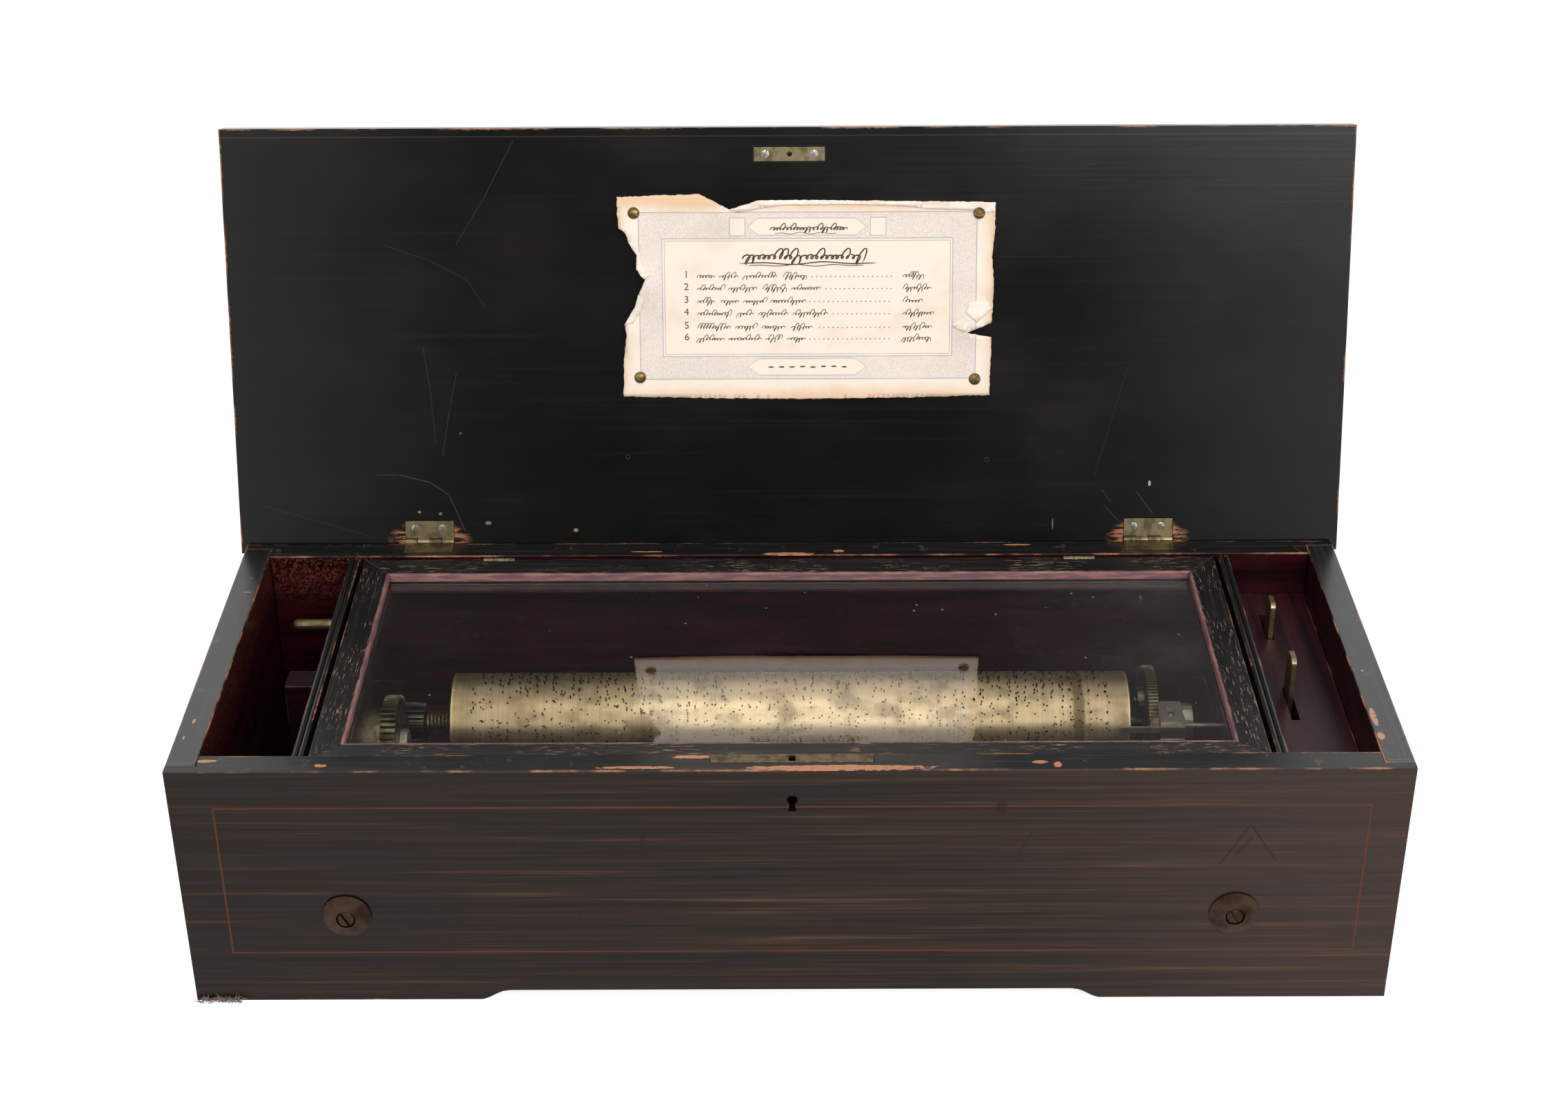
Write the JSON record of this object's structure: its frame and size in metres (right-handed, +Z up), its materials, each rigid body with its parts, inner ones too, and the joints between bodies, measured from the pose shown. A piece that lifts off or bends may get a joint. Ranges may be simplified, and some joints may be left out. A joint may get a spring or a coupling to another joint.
{
  "type": "cylinder music box",
  "caption": "Antique cylinder music box: dark wooden case with an open hinged lid, a glass inner lid, and a brass movement with pinned cylinder, comb, spring barrel and governor.",
  "frame": {"origin": "on the ground, in the middle of the footprint of the whole box with its lid open", "axes": "+X to the right along the case seen from its front, +Y from the front to the back, +Z up"},
  "size_m": [0.5772, 0.2879, 0.3393],
  "materials": {
    "faux_rosewood": "satin varnish over dark grained paint",
    "ebonised_wood": "satin black stain, worn at the edges",
    "maroon_wood": "deep red stain, satin",
    "plain_wood": "bare, darkened with age",
    "brass": "aged, with brown tarnish",
    "steel": "brushed, slightly blued",
    "glass": "clear, dusty",
    "paper": "printed paper, yellowed and matte"
  },
  "bodies": {
    "case": {"front_board": "faux_rosewood", "back_board": "faux_rosewood", "left_end_board": "faux_rosewood", "right_end_board": "faux_rosewood", "bottom_board": "plain_wood", "left_partition": "ebonised_wood", "right_partition": "ebonised_wood", "control_floor": "maroon_wood", "lever_rest_block": "maroon_wood", "glass_lid_rest_left": "maroon_wood", "glass_lid_rest_right": "maroon_wood", "case_lock": "brass", "front_washer_left": "brass", "front_washer_right": "brass", "bedplate_screw_left": "steel", "bedplate_screw_right": "steel", "lid_hinge_case_leaf_left": "brass", "lid_hinge_case_leaf_right": "brass", "lid_hinge_pin_left": "steel", "lid_hinge_pin_right": "steel", "glass_hinge_case_leaf_left": "brass", "glass_hinge_case_leaf_right": "brass", "bedplate": "brass", "cylinder_bearing_left": "brass", "cylinder_bearing_right": "brass", "comb": "steel", "comb_base": "brass", "barrel_bracket_left": "brass", "barrel_bracket_right": "brass", "governor_frame": "brass", "governor_cock": "brass", "stop_blade": "steel", "holding_click": "steel"},
    "lid": {"lid_panel": "faux_rosewood", "lid_hinge_lid_leaf_left": "brass", "lid_hinge_lid_leaf_right": "brass", "striker_plate": "brass", "tune_sheet": "paper"},
    "glass_lid": {"glass_frame_front_rail": "ebonised_wood", "glass_frame_back_rail": "ebonised_wood", "glass_frame_left_stile": "ebonised_wood", "glass_frame_right_stile": "ebonised_wood", "glass_pane": "glass", "glass_hinge_frame_leaf_left": "brass", "glass_hinge_frame_leaf_right": "brass"},
    "arbor": {"cylinder_arbor": "steel", "cylinder_great_wheel": "brass", "cylinder_return_spring": "steel"},
    "cylinder": {"tune_cylinder": "brass"},
    "snail": {"tune_snail": "brass"},
    "barrel": {"spring_barrel": "brass", "barrel_cover": "brass", "mainspring": "steel"},
    "winding_arbor": {"winding_arbor": "steel"},
    "winding_lever": {"winding_lever": "brass"},
    "governor_wheel": {"governor_wheel": "steel"},
    "fly": {"governor_fly": "steel"},
    "start_lever": {"start_stop_lever": "brass"},
    "change_lever": {"change_repeat_lever": "brass"},
    "stop_arbor": {"stop_arbor": "steel"}
  },
  "joints": [
    {"name": "lid_hinge", "type": "hinge", "parent": "case", "child": "lid", "pos_m": [0, 0.07109, 0.13315], "axis": [-1, 0, 0], "range_deg": [-106.5, 0]},
    {"name": "glass_lid_hinge", "type": "hinge", "parent": "case", "child": "glass_lid", "pos_m": [0, 0.05439, 0.1313], "axis": [-1, 0, 0], "range_deg": [0, 95]},
    {"name": "cylinder_spin", "type": "hinge", "parent": "case", "child": "arbor", "pos_m": [0, -0.03161, 0.0855], "axis": [1, 0, 0], "continuous": true},
    {"name": "tune_shift", "type": "slide", "parent": "arbor", "child": "cylinder", "axis": [-1, 0, 0], "range_m": [0, 0.002], "stiffness_N_per_m": 300, "springref_m": -0.01, "deforming": ["cylinder_return_spring"]},
    {"name": "snail_step", "type": "hinge", "parent": "arbor", "child": "snail", "pos_m": [0, -0.03161, 0.0978], "axis": [1, 0, 0], "range_deg": [0, 300]},
    {"name": "barrel_spin", "type": "hinge", "parent": "case", "child": "barrel", "pos_m": [0, -0.06395, 0.09459], "axis": [1, 0, 0], "continuous": true},
    {"name": "governor_wheel_spin", "type": "hinge", "parent": "case", "child": "governor_wheel", "pos_m": [0, -0.05251, 0.06268], "axis": [1, 0, 0], "continuous": true},
    {"name": "fly_spin", "type": "hinge", "parent": "case", "child": "fly", "pos_m": [0.1869, -0.04121, 0.06268], "axis": [0, 0, 1], "continuous": true},
    {"name": "winding_arbor_spin", "type": "hinge", "parent": "case", "child": "winding_arbor", "pos_m": [0, -0.06395, 0.09459], "axis": [1, 0, 0], "continuous": true},
    {"name": "winding_lever_swing", "type": "hinge", "parent": "case", "child": "winding_lever", "pos_m": [0, -0.06395, 0.09459], "axis": [1, 0, 0], "range_deg": [0, 110]},
    {"name": "start_stop", "type": "hinge", "parent": "case", "child": "start_lever", "pos_m": [0.2456, -0.04161, 0.0784], "axis": [1, 0, 0], "range_deg": [0, 26]},
    {"name": "change_repeat", "type": "hinge", "parent": "case", "child": "change_lever", "pos_m": [0.2456, 0.01709, 0.0784], "axis": [-1, 0, 0], "range_deg": [0, 19]},
    {"name": "stop_arbor_turn", "type": "hinge", "parent": "case", "child": "stop_arbor", "pos_m": [0, -0.05151, 0.0962], "axis": [-1, 0, 0], "range_deg": [0, 15]}
  ],
  "couplings": [
    {"joint": "snail_step", "follows": "tune_shift", "rad_per_m": 2618},
    {"joint": "barrel_spin", "follows": "cylinder_spin", "ratio": -0.41667},
    {"joint": "governor_wheel_spin", "follows": "cylinder_spin", "ratio": -8},
    {"joint": "fly_spin", "follows": "cylinder_spin", "ratio": 384},
    {"joint": "stop_arbor_turn", "follows": "start_stop", "ratio": 0.57692}
  ]
}
